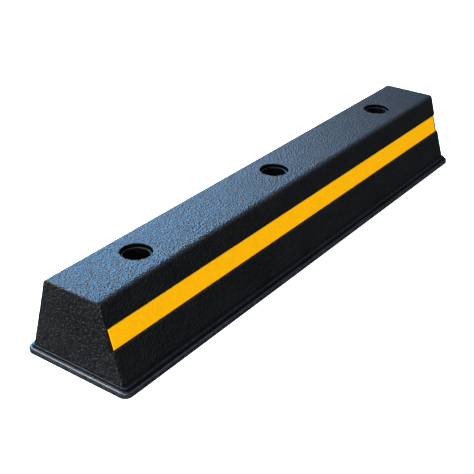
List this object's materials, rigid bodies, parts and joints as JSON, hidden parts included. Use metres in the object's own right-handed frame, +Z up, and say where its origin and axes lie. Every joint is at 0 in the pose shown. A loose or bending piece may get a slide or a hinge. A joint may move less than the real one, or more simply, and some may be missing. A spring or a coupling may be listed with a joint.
{
  "type": "parking wheel stop",
  "caption": "Moulded rubber parking wheel stop with sloping long faces, a foot flange, a reflective strip on the front and stepped, steel-lined anchor holes.",
  "frame": {"origin": "on the ground under the middle of the block", "axes": "+X along the block, -Y towards the front face that carries the strip, +Z up"},
  "size_m": [0.75, 0.152, 0.1052],
  "materials": {
    "rubber": "moulded black rubber with a fine leather grain",
    "reflective_strip": "yellow reflective sheet, satin",
    "dark_steel": "dark oxide steel, rubbed bright along the rims"
  },
  "bodies": {
    "root": {"body": "rubber", "front_reflective_strip": "reflective_strip", "hole_sleeve_left": "dark_steel", "hole_sleeve_middle": "dark_steel", "hole_sleeve_right": "dark_steel", "seat_washer_left": "dark_steel", "seat_washer_middle": "dark_steel", "seat_washer_right": "dark_steel"}
  },
  "joints": []
}
